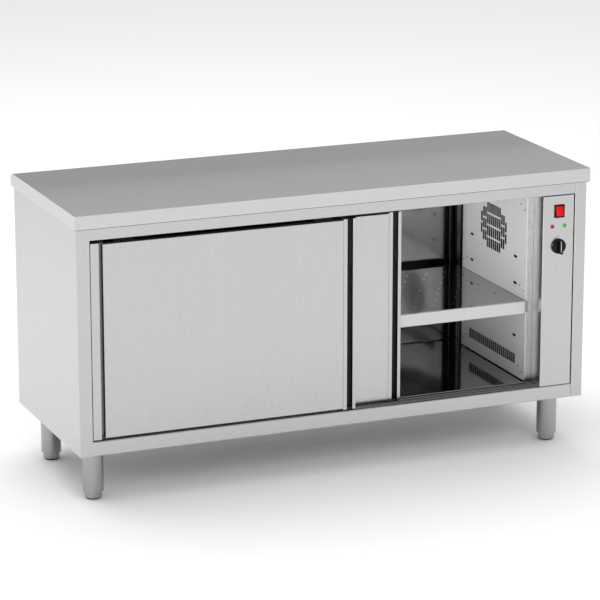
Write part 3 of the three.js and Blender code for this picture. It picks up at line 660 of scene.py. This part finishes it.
# ---- duct cover, with the fan's grille and the louvre below it -----------------------------------
fan_low, fan_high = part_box("fan_impeller")
FAN_Y = (fan_low.y + fan_high.y) / 2
FAN_Z = (fan_low.z + fan_high.z) / 2
GRILLE_COLUMNS = 13
GRILLE_PITCH = 13.8 * MM
GRILLE_ROW_PITCH = 36.7 * MM
GRILLE_SLOT = (10.6 * MM, 30.6 * MM)
SLOT_CORNER = 1.6 * MM
LOUVRE_SLOTS = 23
LOUVRE_PITCH = 13.9 * MM
LOUVRE_DROP = 372 * MM  # from the fan's axis down to the louvre
CLIP_SLOT = (22 * MM, 8 * MM)
CLIP_PITCH = 81.5 * MM
CLIP_ROWS = 4
CLIP_TONGUE = 3.2 * MM  # from the top of a clip's tongue down to the middle of its slot
DUCT_RETURN = 18 * MM  # the cover's rear return
CUT_EDGE_TURN = 0.4  # a face whose normal's x is smaller than this is a slot's cut edge
FACES_FRONT = -0.5  # a face whose normal's y is less than this faces the front


def clip_slot_places():
    """(y, z) of each slot that a shelf clip can hang in. The clips in use are in the second row."""
    for end in ("front", "rear"):
        low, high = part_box("shelf_clip_" + end + "_right")
        for row in range(CLIP_ROWS):
            yield (low.y + high.y) / 2, high.z - CLIP_TONGUE + (row - 1) * CLIP_PITCH


def grille_rows(column):
    """The outer columns are shorter stacks, so that the grille is round."""
    from_edge = min(column, GRILLE_COLUMNS - 1 - column)
    if from_edge == 0:
        return 2
    return 3 if from_edge < 3 else 4


def air_slot_places():
    for column in range(GRILLE_COLUMNS):
        y = FAN_Y + (column - (GRILLE_COLUMNS - 1) / 2) * GRILLE_PITCH
        rows = grille_rows(column)
        for row in range(rows):
            yield y, FAN_Z + (row - (rows - 1) / 2) * GRILLE_ROW_PITCH
    for i in range(LOUVRE_SLOTS):
        yield FAN_Y + (i - (LOUVRE_SLOTS - 1) / 2) * LOUVRE_PITCH, FAN_Z - LOUVRE_DROP


def duct_cover():
    low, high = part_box("duct_cover")
    path = [(low.x + DUCT_RETURN, high.y), (low.x, high.y), (low.x, low.y), (high.x, low.y)]
    fold = Fold(path)
    slots = []
    for y, z in air_slot_places():
        slots.append(rounded_rectangle(fold.u_at(1, high.y - y), z, *GRILLE_SLOT, SLOT_CORNER))
    for y, z in clip_slot_places():
        slots.append(slot_loop(fold.u_at(1, high.y - y), z, *CLIP_SLOT))
    outline = upright(fold, low, high)
    cover = punched_and_folded("duct_cover", DUCT_LIT_STEEL, fold, outline, slots, along_z)
    # The slots' cut edges are painted dark as the shade inside the slots, and the front return is
    # finished like the fronts, as they look in the reference view.
    cover.data.materials.append(SHADE_METAL)
    cover.data.materials.append(STEEL_Z)
    for polygon in cover.data.polygons:
        place = polygon.center
        inside = low.y + FOLD_RADIUS + MM < place.y < high.y - FOLD_RADIUS - MM
        is_cut = abs(polygon.normal.x) < CUT_EDGE_TURN
        if inside and is_cut and low.z + MM < place.z < high.z - MM:
            polygon.material_index = 1
        elif place.y < low.y + FOLD_RADIUS and polygon.normal.y < FACES_FRONT:
            polygon.material_index = 2


def cavity_left_wall():
    low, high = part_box("cavity_left_wall")
    path = [(low.x, low.y), (high.x, low.y), (high.x, high.y), (low.x, high.y)]
    fold = Fold(path)
    slots = [slot_loop(fold.u_at(1, y - low.y), z, *CLIP_SLOT) for y, z in clip_slot_places()]
    outline = upright(fold, low, high)
    punched_and_folded("cavity_left_wall", SHADED_LINER_Z, fold, outline, slots, along_z)


duct_cover()
cavity_left_wall()

# Rivets that hold the duct cover, as (y, z) in the frame's metres.
RIVET_PLACES = [
    (-0.183, 0.732),
    (-0.209, 0.719),
    (-0.183, 0.482),
    (-0.209, 0.470),
    (-0.183, 0.231),
    (-0.209, 0.218),
    (0.182, 0.482),
    (0.206, 0.469),
    (0.183, 0.232),
    (0.206, 0.219),
]
RIVET_HEAD = [
    (0, 0.4 * MM),
    (2.7 * MM, 0.3 * MM),
    (2.7 * MM, -0.2 * MM),
    (2.2 * MM, -0.8 * MM),
    (1.2 * MM, -1.2 * MM),
    (0, -1.3 * MM),
]
AIR_SLOT = 9 * MM  # width of the dark strip painted as the shade of the slot between the back wall and the duct cover
BEAD = 1.2 * MM
BEAD_GAP = 0.1 * MM
SLOT_SHADE_GAP = 0.5 * MM  # between the dark strip and the duct cover
WALL_GAP = 0.05 * MM


def duct_rivets():
    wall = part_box("duct_cover")[0].x
    bm = bmesh.new()
    for y, z in RIVET_PLACES:
        turned(bm, RIVET_HEAD, Vector((wall, y, z)), "X", 16)
    bmesh.ops.recalc_face_normals(bm, faces=bm.faces)
    rivets = to_object("duct_rivets", bm, DARK_AND_SHADE_METAL)
    smooth(rivets.data)
    added(rivets, body_of_node("duct_cover"), slot_of_node("duct_cover"))


def corner_slot():
    """The back wall's right-hand end: a bright folded bead, then a dark strip painted as the shade
    in the mouth of the air slot.
    """
    wall_low, wall_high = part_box("cavity_back_wall")
    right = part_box("duct_cover")[0].x - SLOT_SHADE_GAP
    front, back = wall_low.y - BEAD, wall_low.y - WALL_GAP
    for name, material, left, end in (
        ("air_slot_shade", SHADE_METAL, right - AIR_SLOT, right),
        ("air_slot_bead", STEEL_Z, right - AIR_SLOT - 2 * BEAD, right - AIR_SLOT - BEAD_GAP),
    ):
        low, high = (left, front, wall_low.z), (end, back, wall_high.z)
        strip(name, "cavity_back_wall", material, low, high, EDGE_ROUND)


duct_rivets()
corner_slot()


# ---- perforated shelf ----------------------------------------------------------------------------
HOLE_RADIUS = 4 * MM
HOLE_PITCH = (64.5 * MM, 56 * MM)
HOLE_ROWS = 7
HOLE_COLUMNS = 21
SHELF_LUG = 10 * MM  # the front edge runs past the deck at its right-hand end
SHELF_HEM = 10 * MM
HOLES_FORWARD = 2.5 * MM  # the field of holes sits this far in front of the deck's middle
HOLE_SIDES = 16
HOLE_RIM = 0.4 * MM
SHELF_SHADOW_GAP = 0.1 * MM
SHELF_SHADOW_SETBACK = 2 * MM
SHELF_SHADOW_Z = (-3 * MM, -0.4 * MM)  # from the deck's top


def shelf_holes(fold, low, high, right):
    """The staggered field of holes: every second row has one hole less."""
    middle_x = (low.x + right) / 2
    middle_y = (low.y + high.y) / 2 - HOLES_FORWARD
    for row in range(HOLE_ROWS):
        y = middle_y + (row - (HOLE_ROWS - 1) / 2) * HOLE_PITCH[1]
        count = HOLE_COLUMNS - (row + 1) % 2
        for i in range(count):
            x = middle_x + (i - (count - 1) / 2) * HOLE_PITCH[0]
            yield circle(fold.u_at(2, high.y - y), x, HOLE_RADIUS, HOLE_SIDES)


def shelf():
    low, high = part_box("shelf")
    right = high.x - SHELF_LUG
    path = [
        (high.y - SHELF_HEM, low.z),
        (high.y, low.z),
        (high.y, high.z),
        (low.y, high.z),
        (low.y, low.z),
        (low.y + SHELF_HEM, low.z),
    ]
    fold = Fold(path)
    front = fold.u_at(3, FOLD_RADIUS)
    outline = [
        (0, low.x),
        (fold.length, low.x),
        (fold.length, right),
        (fold.u_at(4, -FOLD_RADIUS), right),
        (fold.u_at(4, -FOLD_RADIUS), high.x),
        (front, high.x),
        (front, right),
        (0, right),
    ]
    holes = list(shelf_holes(fold, low, high, right))
    deck = punched_and_folded("shelf", SHADED_LINER_X, fold, outline, holes, along_x, HOLE_RIM)
    deck.data.materials.append(SHELF_STEEL)
    for polygon in deck.data.polygons:
        if polygon.center.y < low.y + FOLD_RADIUS and polygon.center.x < right:
            polygon.material_index = 1
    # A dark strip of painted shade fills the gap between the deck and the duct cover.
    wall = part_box("duct_cover")[0].x
    start = (right + SHELF_SHADOW_GAP, low.y + SHELF_SHADOW_SETBACK, high.z + SHELF_SHADOW_Z[0])
    strip("shelf_gap_shadow", "shelf", RUBBER_AND_SHADE, start, (wall - SHELF_SHADOW_GAP, high.y, high.z + SHELF_SHADOW_Z[1]))
    bm = bmesh.new()
    for x in (low.x, right - SHEET):
        start = (x, low.y + SHEET, low.z)
        box_into(bm, start, (x + SHEET, high.y - SHEET, high.z - SHEET))
    ends = eased(to_object("shelf_end_flanges", bm, STEEL_Y), EDGE_ROUND)
    added(ends, body_of_node("shelf"), slot_of_node("shelf"))


shelf()


# ---- control panel -------------------------------------------------------------------------------
PANEL_RETURN = 12 * MM
DUCT_GAP = 0.3 * MM
SWITCH_HOLE = (14 * MM, 18.5 * MM)  # half its width and half its height
SPINDLE_HOLE_RADIUS = 5 * MM
LAMP_HOLE_RADIUS = 4.2 * MM


def middle_of(node):
    low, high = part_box(node)
    return (low + high) / 2


def control_panel():
    low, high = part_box("control_panel")
    front, back = low.y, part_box("duct_cover")[0].y - DUCT_GAP
    path = [(low.x, back), (low.x, front), (high.x, front), (high.x, front + PANEL_RETURN)]
    fold = Fold(path)

    def round_hole(node, radius):
        place = middle_of(node)
        return circle(fold.u_at(1, place.x - low.x), place.z, radius)

    switch = middle_of("power_switch_frame")
    wide, tall = SWITCH_HOLE
    corners = ((-1, -1), (1, -1), (1, 1), (-1, 1))
    holes = [
        [(fold.u_at(1, switch.x + i * wide - low.x), switch.z + j * tall) for i, j in corners],
        round_hole("thermostat_body", SPINDLE_HOLE_RADIUS),
        round_hole("red_lamp", LAMP_HOLE_RADIUS),
        round_hole("green_lamp", LAMP_HOLE_RADIUS),
    ]
    outline = upright(fold, low, high)
    punched_and_folded("control_panel", STEEL_Z, fold, outline, holes, along_z)


control_panel()
PANEL_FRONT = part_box("control_panel")[0].y


# ---- switch, lamps and thermostat ----------------------------------------------------------------
def finer(node, material, width):
    """The CAD node's own shape with its sharp edges eased."""
    return stand_for(eased(to_object(node + "_fine", cad_mesh(node), material), width), node)


def turned_piece(name, profile, centre, material, axis="Z", segments=96):
    """profile is in millimetres, as (radius, height) points; centre is in metres."""
    bm = bmesh.new()
    turned(bm, [(r * MM, h * MM) for r, h in profile], centre, axis, segments)
    bmesh.ops.recalc_face_normals(bm, faces=bm.faces)
    piece = to_object(name, bm, material)
    smooth(piece.data, 32.0)
    return piece


# Each profile is in millimetres, and height 0 is the panel's front face.
LAMP_PROFILE = [
    (0, -18), (3.8, -18), (3.8, 0.3), (5.8, 0.3), (6, 0.5), (6, 1.0), (5.8, 1.2),
    (4.8, 1.6), (4.6, 2.6), (4.1, 3.5), (3.3, 4.2), (2.2, 4.7), (1.1, 4.93), (0, 5),
]
SKIRT_PROFILE = [
    (0, 1), (22, 1), (22.5, 1.4), (22.5, 5.8), (22.2, 6.8), (21.3, 7.8), (20.4, 8), (0, 8),
]
SPINDLE_PROFILE = [(0, -18), (3, -18), (3, 1.2), (0, 1.2)]
INDEX_DOT = (703 * MM, 649 * MM)
DOT_PROFILE = [(0, -0.2), (2.0, -0.2), (2.0, 0.1), (1.8, 0.15), (0, 0.15)]
POINTER_LEAN = Matrix.Rotation(0.4, 4, "Z")
UPRIGHT = Matrix()
# Parts on the knob's skirt, in millimetres from its middle: across, up, and out of the panel.
# Each row: name, material, low corner, high corner, turn, edge rounding.
KNOB_PARTS = (
    ("thermostat_grip", BLACK, (-5, -20.5, 7), (5, 20.5, 19.8), UPRIGHT, 1.6),
    ("thermostat_pointer", BLACK, (-3.5, -26.6, 2), (3.5, -16, 9), POINTER_LEAN, 0.9),
    ("thermostat_line", WHITE_INK, (-0.7, -15, 19.5), (0.7, 18, 20), UPRIGHT, 0.1),
)
KNOB_SEGMENTS = 4
FRAME_EASE = 0.7 * MM
ROCKER_EASE = 0.5 * MM


def on_panel(x, z):
    return Vector((x, PANEL_FRONT, z))


def knob():
    """A round skirt with an upright grip bar, a pointer tab at its edge and a light line on
    the bar."""
    centre = middle_of("thermostat_body")
    place = on_panel(centre.x, centre.z)
    out = Matrix.Translation(place) @ Matrix.Rotation(math.pi / 2, 4, "X")
    skirt = turned_piece("thermostat_knob_fine", SKIRT_PROFILE, place, BLACK, "Y")
    stand_for(skirt, "thermostat_knob")
    spindle = turned_piece("thermostat_spindle", SPINDLE_PROFILE, place, DARK_AND_SHADE_METAL, "Y", 24)
    body, slot = body_of_node("thermostat_knob"), slot_of_node("thermostat_knob")
    added(spindle, body, slot)
    for name, material, low, high, turn, ease in KNOB_PARTS:
        bm = bmesh.new()
        box_into(bm, [v * MM for v in low], [v * MM for v in high])
        bmesh.ops.transform(bm, matrix=out @ turn, verts=bm.verts)
        bmesh.ops.recalc_face_normals(bm, faces=bm.faces)
        added(eased(to_object(name, bm, material), ease * MM, KNOB_SEGMENTS), body, slot)


for node, material in (("red_lamp", RED_LENS), ("green_lamp", GREEN_LENS)):
    place = middle_of(node)
    seat = on_panel(place.x, place.z)
    stand_for(turned_piece(node + "_fine", LAMP_PROFILE, seat, material, "Y", 48), node)
finer("power_switch_frame", BLACK, FRAME_EASE)
finer("power_switch_rocker", RED, ROCKER_EASE)
knob()
dot = turned_piece("index_dot", DOT_PROFILE, on_panel(*INDEX_DOT), GREY_INK, "Y", 24)
added(dot, body_of_node("control_panel"), slot_of_node("control_panel"))


# ---- legs and feet -------------------------------------------------------------------------------
# All of these are in millimetres, as turned_piece takes them.
TUBE_R = 30
TUBE_BORE = 28.5
TUBE_CAP = 4  # thickness of the tube's closed top
NUT_SPAN = (28, 38)  # the nut's underside and top, above the tube's mouth
NUT_CLEARANCE = 0.6
SOLE_R = 17.5
SOLE_TOP = 5.2
FOOT_R = 24.5
SHOULDER = 10  # the shoe's top, above the tube's mouth
STEM_R = 6
STEM_LENGTH = 68
THREAD_DEPTH = 0.55
THREAD_PITCH = 2.0
THREAD_TURNS = 32
COLLAR_Z = (-0.3, 3)  # from the tube's mouth
COLLAR_GAPS = (0.3, 0.1)  # to the shoe inside it and the tube around it
SOLE_SEGMENTS = 64
CLIP_EASE = 0.3 * MM


def tube_profile(bottom, top):
    hole = STEM_R + NUT_CLEARANCE
    nut_low, nut_high = bottom + NUT_SPAN[0], bottom + NUT_SPAN[1]
    return [
        (0, top), (TUBE_R, top), (TUBE_R, bottom + 0.5), (TUBE_R - 0.5, bottom),
        (TUBE_BORE + 0.4, bottom), (TUBE_BORE, bottom + 0.4), (TUBE_BORE, nut_low),
        (hole, nut_low), (hole, nut_high), (TUBE_BORE, nut_high),
        (TUBE_BORE, top - TUBE_CAP), (0, top - TUBE_CAP),
    ]


def shoe_profile(bottom):
    """The foot's metal shoe and stem. The stem's thread is drawn as rings."""
    shoulder = bottom + SHOULDER
    profile = [
        (0, SOLE_TOP), (FOOT_R - 0.6, SOLE_TOP), (FOOT_R, SOLE_TOP + 1.0),
        (FOOT_R, shoulder - 1.0), (FOOT_R - 1.0, shoulder), (STEM_R, shoulder),
    ]
    for i in range(THREAD_TURNS):
        base = shoulder + 1.0 + i * THREAD_PITCH
        profile += [(STEM_R - THREAD_DEPTH, base), (STEM_R, base + THREAD_PITCH / 2)]
    end = shoulder + STEM_LENGTH
    return profile + [(STEM_R - THREAD_DEPTH, end), (0, end)]


def collar_profile(bottom):
    inner, outer = FOOT_R + COLLAR_GAPS[0], TUBE_BORE - COLLAR_GAPS[1]
    low, high = bottom + COLLAR_Z[0], bottom + COLLAR_Z[1]
    return [(inner, low), (outer, low), (outer, high), (inner, high), (inner, low)]


SOLE_PROFILE = [
    (0, 0), (SOLE_R - 0.8, 0), (SOLE_R, 0.6), (FOOT_R - 0.9, 4.9), (FOOT_R - 0.9, SOLE_TOP),
    (0, SOLE_TOP),
]


def leg_and_foot(corner):
    leg, foot = "leg_" + corner, "foot_" + corner
    low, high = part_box(leg)
    place = Vector(((low.x + high.x) / 2, (low.y + high.y) / 2, 0))
    bottom, top = low.z / MM, high.z / MM
    tube = turned_piece(leg + "_fine", tube_profile(bottom, top), place, TUBE_DARK_REFLECTION_STEEL)
    stand_for(tube, leg)
    shoe = turned_piece(foot + "_fine", shoe_profile(bottom), place, FOOT_STEEL, segments=48)
    stand_for(shoe, foot)
    for name, profile, node in (
        (foot + "_sole", SOLE_PROFILE, foot),
        (leg + "_collar", collar_profile(bottom), leg),
    ):
        piece = turned_piece(name, profile, place, RUBBER_AND_SHADE, segments=SOLE_SEGMENTS)
        added(piece, body_of_node(node), slot_of_node(node))


for side in ("left", "right"):
    for end in ("front", "rear"):
        leg_and_foot(end + "_" + side)
        finer("shelf_clip_" + end + "_" + side, STEEL_Y, CLIP_EASE)

# ---- hangers and rollers -------------------------------------------------------------------------
HANGER_EASE = 0.3 * MM
ROLLER_EASE = 0.5 * MM
# The hangers are painted dark as the shade in the gap above the doors.
for door in ("left_door", "right_door"):
    for side in ("left", "right"):
        finer(f"{door}_hanger_{side}", SHADE_METAL, HANGER_EASE)
        finer(f"{door}_roller_{side}", NYLON, ROLLER_EASE)

# ---- finishes of the CAD pieces that keep their shape --------------------------------------------
FINISH_OF_SLOT = {
    "stainless_sheet": STEEL_X,
    "galvanised_sheet": ZINC,
    "insulation": WOOL,
    "white_nylon": NYLON,
    "leg_tube": TUBE_DARK_REFLECTION_STEEL,
    "foot_metal": FOOT_STEEL,
    "fan_metal": FAN_METAL,
    "motor_case": DARK_AND_SHADE_METAL,
    "element_sheath": DARK_AND_SHADE_METAL,
    "black_plastic": BLACK,
    "red_rocker": RED,
    "red_lens": RED_LENS,
    "green_lens": GREEN_LENS,
}
# These are painted dark as shade, because the space behind the grille looks black in the reference
# view.
BEHIND_GRILLE = ("fan_housing", "fan_impeller", "heating_element", "fan_motor")
for node, piece in FRAME_NODES.items():
    piece.data.materials.clear()
    finish = SHADE_METAL if node in BEHIND_GRILLE else FINISH_OF_SLOT[slot_of_node(node)]
    piece.data.materials.append(finish)


# ---- floor, light and camera ---------------------------------------------------------------------
FLOOR_HALF = 30  # metres
FLOOR_GREY = (0.9, 0.9, 0.9, 1)
FLOOR_ROUGHNESS = 0.9
WORLD_LOW = 0.5
WORLD_HIGH = 1.0
FLAG_LEVEL = 0.2  # share of the room's light that is left behind the dark flag
# Where each change in the room's light starts and stops, as a part of the direction looked in.
SKY_RISE = (0.2, 0.75)
FLAG_RIGHT = (-0.15, 0.25)
FLAG_FRONT = (-0.2, -0.7)
FLAG_TOP = (0.75, 0.45)
OVERHEAD = {"place": (-0.8, 2.2, 5.0), "aim": (0, 0, 0), "size": (7.0, 5.0), "power": 160}
FRONT_FILL = {
    "place": (0.5, -6.5, 4.5), "aim": (0.5, -4.0, 0), "size": (7.0, 3.0), "power": 150,
}
# The spot reaches the duct cover and the fan's grille through the opening.
OPENING_SPOT = {
    "place": (-2.2, -3.2, 1.05), "aim": (0.63, -0.02, 0.69), "cone": 9.5, "power": 1500,
}
SPOT_SOFTNESS = 0.35


def studio_floor():
    material, nodes, links, shader = new_material("floor")
    shader.inputs["Base Color"].default_value = FLOOR_GREY
    shader.inputs["Roughness"].default_value = FLOOR_ROUGHNESS
    bm = bmesh.new()
    bmesh.ops.create_grid(bm, x_segments=4, y_segments=4, size=FLOOR_HALF)
    floor = to_object("floor", bm, material)


def hung_light(name, data, place, aim, power):
    data.energy = power
    light = bpy.data.objects.new(name, data)
    light.location = place
    light.rotation_euler = (Vector(aim) - Vector(place)).to_track_quat("-Z", "Y").to_euler()
    bpy.context.collection.objects.link(light)
    return light


def area_light(name, place, aim, size, power):
    data = bpy.data.lights.new(name, "AREA")
    data.shape = "RECTANGLE"
    data.size, data.size_y = size
    return hung_light(name, data, place, aim, power)


def spot_light(name, place, aim, cone, power):
    data = bpy.data.lights.new(name, "SPOT")
    data.spot_size = math.radians(cone)
    data.spot_blend = 1.0
    data.shadow_soft_size = SPOT_SOFTNESS
    return hung_light(name, data, place, aim, power)


def world_direction(nodes, links):
    place = nodes.new("ShaderNodeTexCoord")
    split = nodes.new("ShaderNodeSeparateXYZ")
    links.new(place.outputs["Generated"], split.inputs["Vector"])
    return split.outputs


def ramp(nodes, links, source, span, low, high):
    step = nodes.new("ShaderNodeMapRange")
    step.interpolation_type = "SMOOTHSTEP"
    step.inputs["From Min"].default_value = span[0]
    step.inputs["From Max"].default_value = span[1]
    step.inputs["To Min"].default_value = low
    step.inputs["To Max"].default_value = high
    links.new(source, step.inputs["Value"])
    return step.outputs["Result"]


def studio_world():
    """A soft white room, greyer low down, with a dark flag low at the front right."""
    world = bpy.data.worlds.new("studio")
    bpy.context.scene.world = world
    world.use_nodes = True
    nodes, links = world.node_tree.nodes, world.node_tree.links
    nodes["Background"].inputs["Color"].default_value = (1, 1, 1, 1)
    direction = world_direction(nodes, links)
    height = ramp(nodes, links, direction["Z"], SKY_RISE, WORLD_LOW, WORLD_HIGH)
    rightward = ramp(nodes, links, direction["X"], FLAG_RIGHT, 0.0, 1.0)
    forward = ramp(nodes, links, direction["Y"], FLAG_FRONT, 0.0, 1.0)
    lowness = ramp(nodes, links, direction["Z"], FLAG_TOP, 0.0, 1.0)
    corner = combined(nodes, links, "MULTIPLY", rightward, forward)
    flag = combined(nodes, links, "MULTIPLY", corner, lowness)
    keep = ramp(nodes, links, flag, (0.0, 1.0), 1.0, FLAG_LEVEL)
    strength = combined(nodes, links, "MULTIPLY", height, keep)
    links.new(strength, nodes["Background"].inputs["Strength"])


def studio_light():
    bpy.context.scene.view_settings.view_transform = "Standard"
    studio_world()
    for light in (area_light("overhead", **OVERHEAD), area_light("front_fill", **FRONT_FILL)):
        light.visible_glossy = False  # they light the floor, which the polished sheet mirrors
    spot_light("opening_spot", **OPENING_SPOT)


def studio_camera():
    azimuth, elevation = math.radians(CAMERA_AZIMUTH), math.radians(CAMERA_ELEVATION)
    level = math.cos(elevation)
    away = Vector((math.sin(azimuth) * level, -math.cos(azimuth) * level, math.sin(elevation)))
    data = bpy.data.cameras.new("camera")
    data.lens = CAMERA_LENS
    data.clip_end = 100
    camera = bpy.data.objects.new("camera", data)
    camera.location = CAMERA_AIM + away * CAMERA_DISTANCE
    camera.rotation_euler = (-away).to_track_quat("-Z", "Y").to_euler()
    bpy.context.collection.objects.link(camera)
    bpy.context.scene.camera = camera


studio_floor()
studio_light()
studio_camera()
